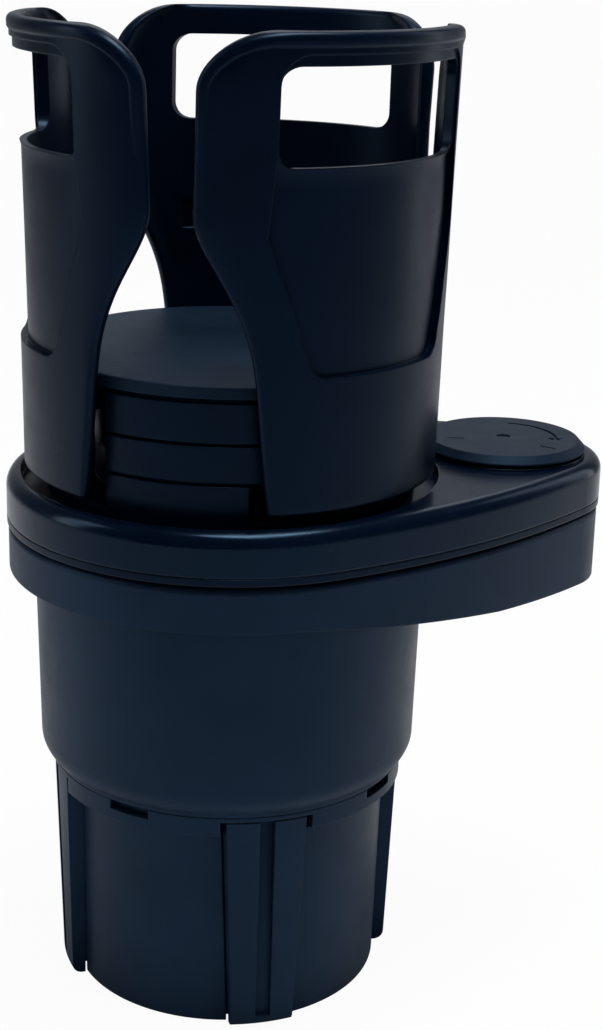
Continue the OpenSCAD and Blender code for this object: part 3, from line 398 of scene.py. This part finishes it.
def bead_tool(a):
    """Rounded bead that follows the rim, the top corners and the start of the sides."""
    path = bead_path(a)
    low = a.top - a.corner
    sections = []
    for i, (along, z) in enumerate(path):
        back, on = path[max(0, i - 1)], path[min(len(path) - 1, i + 1)]
        t = Vector((on[0] - back[0], on[1] - back[1])).normalized()
        inward = Vector((t.y, -t.x)) if i else Vector((0.0, -1.0))
        fade = 1.0 if z > low else max(0.0, (z - a.bead_end) / (low - a.bead_end))
        out = a.bead_out * fade - 0.00012 * (1 - fade)
        r, w = 0.0013, a.bead_w
        profile = [(0.00003, -0.0011)]
        profile += [(0.00003 + r * (1 - math.cos(s)), out - r * (1 - math.sin(s)))
                    for s in (math.pi / 2 * k / 6 for k in range(2, 7))]
        profile += [(w - 0.0005, out), (w - 0.0002, out - 0.00012), (w, out - 0.0004), (w, -0.0011)]
        sections.append([(along + inward.x * d, z + inward.y * d, o) for d, o in profile])
    n = len(sections[0])
    whole = [[(-u, z, o) for u, z, o in s] for s in sections[:0:-1]] + sections
    points = [skin(a, u, z, o) for s in whole for u, z, o in s]
    faces = [(i * n + j, i * n + (j + 1) % n, (i + 1) * n + (j + 1) % n, (i + 1) * n + j)
             for i in range(len(whole) - 1) for j in range(n)]
    faces += [tuple(range(n - 1, -1, -1)), tuple(range((len(whole) - 1) * n, len(whole) * n))]
    return mesh_object("bead_tool", points, faces)


def arm_level(a, z, trim):
    """Closed loop of an arm at one height, from the middle of its outer face round its curl."""
    r = arm_radius(a, z) - trim
    curl = a.bend_low + (a.bend_high - a.bend_low) * widened(a, z)
    start = math.asin((half_width(a, z) - trim) / r) - 0.85 * curl / r
    sweep = curl / a.bend_r
    centre = polar(r - a.bend_r, start)
    wall = a.wall - 2 * trim
    cap = min(RIM_ROUND, wall * 0.4)
    turn = sweep - cap / a.bend_r
    loop = [polar(r, start * i / a.arc_steps) for i in range(a.arc_steps + 1)]
    loop += [centre + polar(a.bend_r, start + turn * i / 8) for i in range(1, 9)]
    out = polar(1.0, start + turn)
    on = Vector((-out.y, out.x))
    middle = centre + out * (a.bend_r - wall / 2)
    loop += [middle + out * (wall / 2 * math.cos(s)) + on * (cap * math.sin(s))
             for s in (math.pi * i / 7 for i in range(1, 7))]
    loop += [centre + polar(a.bend_r - wall, start + turn * i / 8) for i in range(8, 0, -1)]
    loop += [polar(r - wall, start * i / a.arc_steps) for i in range(a.arc_steps, -1, -1)]
    return loop + [Vector((p.x, -p.y)) for p in loop[-2:0:-1]]


def arm_heights(a):
    """Heights of an arm's levels, each with the trim of its rounded ends."""
    rows = [(a.low + FOOT_ROUND * (1 - math.cos(t)), FOOT_ROUND * (1 - math.sin(t)))
            for t in (math.pi / 2 * i / 5 for i in range(6))]
    first, last = a.low + 0.002, a.top - a.corner
    rows += [(first + (last - first) * i / 46, 0.0) for i in range(46)]
    high = a.corner - RIM_ROUND
    rows += [(last + high * math.sin(math.pi / 2 * i / 14), 0.0) for i in range(14)]
    rows += [(a.top - RIM_ROUND + RIM_ROUND * math.sin(t), RIM_ROUND * (1 - math.cos(t)))
             for t in (math.pi / 2 * i / 7 for i in range(8))]
    return rows


def solid_arm(a, name):
    """Mesh object of one arm along +X, before its window and panel are cut."""
    rows = arm_heights(a)
    loops = [arm_level(a, *row) for row in rows]
    n = len(loops[0])
    points = [(p.x, p.y, row[0]) for row, loop in zip(rows, loops) for p in loop]
    faces = [(i * n + j, i * n + (j + 1) % n, (i + 1) * n + (j + 1) % n, (i + 1) * n + j)
             for i in range(len(rows) - 1) for j in range(n)]
    h = n // 2 + 1
    top = (len(rows) - 1) * n
    for i in range(h // 2 - 1):
        near = (i, i + 1, h - 2 - i, h - 1 - i)
        far = tuple((n - j) % n for j in reversed(near))
        for quad in (near, far):
            faces.append(tuple(reversed(quad)))
            faces.append(tuple(top + j for j in quad))
    return mesh_object(name, points, faces)


def mesh_object(name, points, faces):
    """Object made from points and faces."""
    mesh = bpy.data.meshes.new(name)
    mesh.from_pydata(points, [], faces)
    mesh.update()
    made = bpy.data.objects.new(name, mesh)
    bpy.context.scene.collection.objects.link(made)
    return made


def prism(name, outline, x0, x1):
    """Solid whose outline in y and z runs from x0 to x1. An end may be a function of y and z."""
    ends = [x if callable(x) else (lambda y, z, x=x: x) for x in (x0, x1)]
    n = len(outline)
    points = [(end(y, z), y, z) for end in ends for y, z in outline]
    faces = [(i, (i + 1) % n, n + (i + 1) % n, n + i) for i in range(n)]
    faces += [tuple(range(n - 1, -1, -1)), tuple(range(n, 2 * n))]
    return mesh_object(name, points, faces)


def rounded(corners, steps=8):
    """Outline through corners given as (y, z, radius), each rounded by its radius."""
    made = []
    count = len(corners)
    for i, (y, z, r) in enumerate(corners):
        here = Vector((y, z))
        back = (Vector(corners[i - 1][:2]) - here).normalized()
        on = (Vector(corners[(i + 1) % count][:2]) - here).normalized()
        half = back.angle(on) / 2
        if r <= 0.0 or half > 1.55:
            made.append(tuple(here))
            continue
        centre = here + (back + on).normalized() * (r / math.sin(half))
        first = here + back * (r / math.tan(half)) - centre
        last = here + on * (r / math.tan(half)) - centre
        start = math.atan2(first.y, first.x)
        turn = (math.atan2(last.y, last.x) - start + math.pi) % (2 * math.pi) - math.pi
        made += [tuple(centre + polar(r, start + turn * k / steps)) for k in range(steps + 1)]
    return made


def carve(target, tools, operation="DIFFERENCE"):
    """Cuts the tools from the target, or joins them to it, and removes them."""
    for tool in tools:
        modifier = target.modifiers.new("carve", "BOOLEAN")
        modifier.operation = operation
        modifier.solver = "EXACT"
        modifier.object = tool
    bpy.context.view_layer.update()
    shown = target.evaluated_get(bpy.context.evaluated_depsgraph_get())
    mesh = bpy.data.meshes.new_from_object(shown)
    target.modifiers.clear()
    old = target.data
    target.data = mesh
    bpy.data.meshes.remove(old)
    for tool in tools:
        bpy.data.objects.remove(tool)


def foot_tools(a):
    """The tongue, the two ribs and the drive pin that carry an arm, hidden by the drum."""
    def block(name, y, half, heights, start):
        low, high = heights
        outline = [(y - half, low), (y + half, low), (y + half, high), (y - half, high)]
        return prism(name, outline, start, a.r_low - INTO_WALL)

    made = [block("tongue_tool", 0.0, TONGUE_HALF, TONGUE_Z, TONGUE_START)]
    made += [block("rib_tool", side * RIB_AT, RIB_HALF, RIB_Z, RIB_START) for side in (-1, 1)]
    n = PIN_SIDES
    turns = [2 * math.pi * i / n for i in range(n)]
    points = [(PIN_AT + PIN_R * math.cos(t), PIN_R * math.sin(t), z) for z in PIN_Z for t in turns]
    faces = [(i, (i + 1) % n, n + (i + 1) % n, n + i) for i in range(n)]
    faces += [tuple(range(n - 1, -1, -1)), tuple(range(n, 2 * n))]
    return made + [mesh_object("pin_tool", points, faces)]


def panel_tool(a):
    """Space outside the sunken panel's face and the step over the window, as one solid."""
    wide = a.window_half + 0.0014
    low = a.panel_half_low
    c = a.window_corner + a.frame_w
    top = a.window_top + a.frame_w
    edge = a.window_half + 0.0003
    side = [(edge - c + c * math.sin(t), top - c + c * math.cos(t))
            for t in (math.pi / 2 * i / 10 for i in range(1, 11))]
    side += [(edge, a.window_low + 0.002), (wide, a.panel_waist)]
    side += [*PANEL_SIDE, (low, a.panel_low + PANEL_CORNER)]
    side += [(low - PANEL_CORNER + PANEL_CORNER * math.cos(t),
              a.panel_low + PANEL_CORNER - PANEL_CORNER * math.sin(t))
             for t in (math.pi / 2 * i / 6 for i in range(1, 7))]
    rows = []
    for (y0, z0), (y1, z1) in zip(side, side[1:]):
        count = max(1, round(abs(z0 - z1) / 0.003))
        rows += [(y0 + (y1 - y0) * i / count, z0 + (z1 - z0) * i / count) for i in range(count)]
    rows.append(side[-1])
    across = 24
    points, faces = [], []
    for outside in (False, True):
        for half, z in rows:
            for j in range(across + 1):
                y = half * (2 * j / across - 1)
                r = arm_radius(a, z) - (a.frame_deep if z > a.window_low else a.panel_deep)
                x = 0.06 if outside else math.sqrt(r * r - y * y)
                points.append((x, y, z))
    w = across + 1
    n = len(rows)
    for i in range(n - 1):
        for j in range(across):
            q = (i * w + j, i * w + j + 1, (i + 1) * w + j + 1, (i + 1) * w + j)
            faces.append(q)
            faces.append(tuple(n * w + k for k in reversed(q)))
    rim = list(range(w))
    rim += [i * w + across for i in range(1, n)]
    rim += [(n - 1) * w + j for j in range(across - 1, -1, -1)]
    rim += [i * w for i in range(n - 2, 0, -1)]
    for p, q in zip(rim, rim[1:] + rim[:1]):
        faces.append((q, p, n * w + p, n * w + q))
    return mesh_object("panel_tool", points, faces)


def pocket_tools(a):
    """The two shallow pockets on an arm's inner face."""
    made = []
    w, h, c = a.pocket_wide / 2, a.pocket_high, 0.0007
    low = a.pocket_low
    inner = arm_radius(a, low) - a.wall
    for side in (-1, 1):
        outline = rounded([(-w, low, c), (w, low, c), (w, low + h, c), (-w, low + h, c)], 5)
        tool = prism("pocket_tool", outline, inner - 0.004, inner + a.pocket_deep)
        tool.data.transform(Matrix.Rotation(math.radians(30 * side), 4, "Z"))
        made.append(tool)
    return made


def smooth(made, degrees=32.0):
    """Smooth shading that keeps edges sharper than an angle."""
    made.data.polygons.foreach_set("use_smooth", [True] * len(made.data.polygons))
    made.data.set_sharp_from_angle(angle=math.radians(degrees))
    made.data.update()


class CUPHOLDER_OT_finishes(bpy.types.Operator):
    """Give every CAD node its plastic or metal"""

    bl_idname = "cupholder.finishes"
    bl_label = "Finishes"

    def execute(self, context):
        f = context.scene.cup_holder_finish
        dark, worn, matt = tuple(f.dark), tuple(f.light), tuple(f.matt)
        dress(GLOSS_NODES, plastic("gloss_plastic", dark, worn, f.gloss_rough, 0.15, f.edge, 0.3))
        dress(SATIN_NODES, plastic("satin_plastic", dark, worn, f.satin_rough, 0.25, f.edge))
        # Lower cup and plug: the plastic with a lighter colour, painted light for the floor's bounce
        dress(CUP_NODES, plastic("cup_plastic_painted_light", tuple(f.cup), worn, f.satin_rough + 0.1, 0.4, f.edge))
        dress(MATT_NODES, plastic("matt_plastic", matt, worn, f.matt_rough, 0.6, f.edge))
        dress(NYLON_NODES, plastic("nylon", matt, worn, f.matt_rough - 0.1, 0.1, f.edge))
        dress(STEEL_NODES, plated_steel("plated_steel", tuple(f.steel), f.edge * 0.5))
        return {"FINISHED"}


class CUPHOLDER_OT_arms(bpy.types.Operator):
    """Build the three windowed arms round the drum"""

    bl_idname = "cupholder.arms"
    bl_label = "Arms"

    def execute(self, context):
        a = context.scene.cup_holder_arms
        f = context.scene.cup_holder_finish
        first = solid_arm(a, "arm_shell")
        c = a.window_corner
        w = a.window_half
        window = rounded([(-w, a.window_low, c), (w, a.window_low, c),
                          (w, a.window_top, c), (-w, a.window_top, c)])
        carve(first, [bead_tool(a)], "UNION")
        carve(first, [prism("window_tool", window, 0.025, 0.06), panel_tool(a)] + pocket_tools(a))
        first.data.transform(Matrix.Rotation(a.turn, 4, "Z"))
        carve(first, foot_tools(a), "UNION")
        if len(first.data.polygons) < 1000:
            raise RuntimeError("the arm's window or panel could not be cut")
        smooth(first)
        material = plastic("arm_plastic", tuple(f.dark), tuple(f.light), f.satin_rough, 0.25, f.edge)
        first.data.materials.clear()
        first.data.materials.append(material)
        first.name = "arm_shell_1"
        shells = [first]
        for i in (2, 3):
            shells.append(bpy.data.objects.new("arm_shell_%d" % i, first.data.copy()))
            context.scene.collection.objects.link(shells[-1])
        for i, arm in enumerate(shells):
            arm.data.transform(Matrix.Rotation(math.radians(180 + 120 * i), 4, "Z"))
            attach(arm, "arm_%d" % (i + 1))
            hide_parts("arm_%d" % (i + 1))
        return {"FINISHED"}


class CUPHOLDER_OT_stage(bpy.types.Operator):
    """Make the floor, the backdrop, the lamps and the camera"""

    bl_idname = "cupholder.stage"
    bl_label = "Stage"

    def execute(self, context):
        s = context.scene.cup_holder_stage
        self.floor(s)
        self.world(context.scene)
        aim = Vector((0.02, 0.0, 0.11))
        # Name, place, width, height and watts
        lamps = (
            ("key", (-0.95, 0.20, 0.50), 0.30, 0.9, 1.8),
            ("fill", (0.95, 0.15, 0.40), 0.30, 0.9, 1.1),
            ("top", (0.1, -0.1, 1.0), 0.5, 0.35, 7.0),
            ("back", (0.3, 0.9, 0.9), 0.9, 0.5, 1.5),
        )
        for name, at, wide, high, watts in lamps:
            data = bpy.data.lights.new(name, "AREA")
            data.shape = "RECTANGLE"
            data.size, data.size_y = wide, high
            data.energy = watts * s.key
            lamp = bpy.data.objects.new(name, data)
            lamp.location = at
            lamp.rotation_mode = "QUATERNION"
            lamp.rotation_quaternion = (aim - Vector(at)).to_track_quat("-Z", "Y")
            context.scene.collection.objects.link(lamp)
        self.camera(context.scene, s)
        context.scene.view_settings.view_transform = "Standard"
        return {"FINISHED"}

    def floor(self, s):
        """A floor that curves up into a backdrop behind the object."""
        profile = [(-1.6, 0.0), (0.9, 0.0)]
        profile += [(0.9 + 0.5 * math.sin(t), 0.5 - 0.5 * math.cos(t))
                    for t in (math.pi / 2 * i / 12 for i in range(1, 13))]
        profile.append((1.4, 2.4))
        points = [(x, y, z - 0.0003) for y, z in profile for x in (-2.4, 2.4)]
        faces = [(2 * i, 2 * i + 1, 2 * i + 3, 2 * i + 2) for i in range(len(profile) - 1)]
        floor = mesh_object("floor", points, faces)
        smooth(floor, 60.0)
        floor.data.transform(Matrix.Rotation(s.yaw, 4, "Z"))
        material, tree, shader, place = new_material("floor")
        link = tree.links.new
        grain = noise(tree, place, 40.0, 3.0, 0.5)
        paler = tuple(min(1.0, c * 1.02) for c in s.floor)
        link(blend(tree, grain, tuple(s.floor), paler), shader.inputs["Base Color"])
        shader.inputs["Roughness"].default_value = 0.95
        shader.inputs["Specular IOR Level"].default_value = 0.1
        path = tree.nodes.new("ShaderNodeLightPath")
        seen = math_node(tree, "MAXIMUM", path.outputs["Is Camera Ray"],
                         path.outputs["Is Transmission Ray"])
        glow = tree.nodes.new("ShaderNodeEmission")
        glow.inputs["Color"].default_value = (1.0, 1.0, 1.0, 1.0)
        glow.inputs["Strength"].default_value = 1.0
        mixed = tree.nodes.new("ShaderNodeMixShader")
        link(math_node(tree, "MULTIPLY", seen, FLOOR_WHITE), mixed.inputs["Fac"])
        link(shader.outputs["BSDF"], mixed.inputs[1])
        link(glow.outputs["Emission"], mixed.inputs[2])
        link(mixed.outputs["Shader"], tree.nodes["Material Output"].inputs["Surface"])
        floor.data.materials.append(material)
        floor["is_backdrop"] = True

    def world(self, scene):
        """Even grey light from all round, with white behind whatever the camera sees."""
        world = bpy.data.worlds.new("studio")
        scene.world = world
        world.use_nodes = True
        tree = world.node_tree
        back = tree.nodes["Background"]
        back.inputs["Color"].default_value = (0.075, 0.09, 0.115, 1.0)
        back.inputs["Strength"].default_value = 1.0
        white = tree.nodes.new("ShaderNodeBackground")
        white.inputs["Color"].default_value = (1.0, 1.0, 1.0, 1.0)
        white.inputs["Strength"].default_value = 1.0
        path = tree.nodes.new("ShaderNodeLightPath")
        mixed = tree.nodes.new("ShaderNodeMixShader")
        tree.links.new(path.outputs["Is Camera Ray"], mixed.inputs["Fac"])
        tree.links.new(back.outputs["Background"], mixed.inputs[1])
        tree.links.new(white.outputs["Background"], mixed.inputs[2])
        tree.links.new(mixed.outputs["Shader"], tree.nodes["World Output"].inputs["Surface"])

    def camera(self, scene, s):
        """A camera at the photograph's viewing angle."""
        data = bpy.data.cameras.new("camera")
        data.sensor_width = 36.0
        data.lens = s.focal
        data.clip_start, data.clip_end = 0.01, 10.0
        camera = bpy.data.objects.new("camera", data)
        ahead = Vector((math.sin(-s.yaw) * math.cos(s.pitch), math.cos(s.yaw) * math.cos(s.pitch),
                        -math.sin(s.pitch)))
        right = Vector((math.cos(s.yaw), math.sin(s.yaw), 0.0))
        up = right.cross(ahead)
        c, d = math.cos(s.roll), math.sin(s.roll)
        across, above = c * right + d * up, c * up - d * right
        matrix = Matrix((across, above, -ahead)).transposed().to_4x4()
        matrix.translation = Vector(s.eye)
        camera.matrix_world = matrix
        scene.collection.objects.link(camera)
        scene.camera = camera


class CUPHOLDER_PT_panel(bpy.types.Panel):
    """Lists the sizes, the colours and the operators"""

    bl_label = "Cup holder"
    bl_idname = "CUPHOLDER_PT_panel"
    bl_space_type = "VIEW_3D"
    bl_region_type = "UI"
    bl_category = "Cup holder"

    def draw(self, context):
        scene = context.scene
        for operator, group in (
            ("cupholder.finishes", scene.cup_holder_finish),
            ("cupholder.arms", scene.cup_holder_arms),
            ("cupholder.stage", scene.cup_holder_stage),
        ):
            box = self.layout.box()
            box.operator(operator)
            for name in group.__annotations__:
                box.prop(group, name)


CLASSES = (
    CupHolderArms, CupHolderFinish, CupHolderStage,
    CUPHOLDER_OT_finishes, CUPHOLDER_OT_arms, CUPHOLDER_OT_stage, CUPHOLDER_PT_panel,
)


def register():
    """Registers the classes and their places on the scene."""
    for c in CLASSES:
        bpy.utils.register_class(c)
    bpy.types.Scene.cup_holder_arms = PointerProperty(type=CupHolderArms)
    bpy.types.Scene.cup_holder_finish = PointerProperty(type=CupHolderFinish)
    bpy.types.Scene.cup_holder_stage = PointerProperty(type=CupHolderStage)


def unregister():
    """Takes the classes away again."""
    del bpy.types.Scene.cup_holder_stage
    del bpy.types.Scene.cup_holder_finish
    del bpy.types.Scene.cup_holder_arms
    for c in reversed(CLASSES):
        bpy.utils.unregister_class(c)


def corners():
    """The object's lowest and highest corner as plain lists."""
    return [list(corner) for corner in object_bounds()]


def main():
    """Builds the scene in order."""
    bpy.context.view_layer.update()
    register()
    bpy.ops.cupholder.finishes()
    bpy.ops.cupholder.arms()
    bpy.ops.cupholder.stage()


if __name__ == "__main__":
    main()
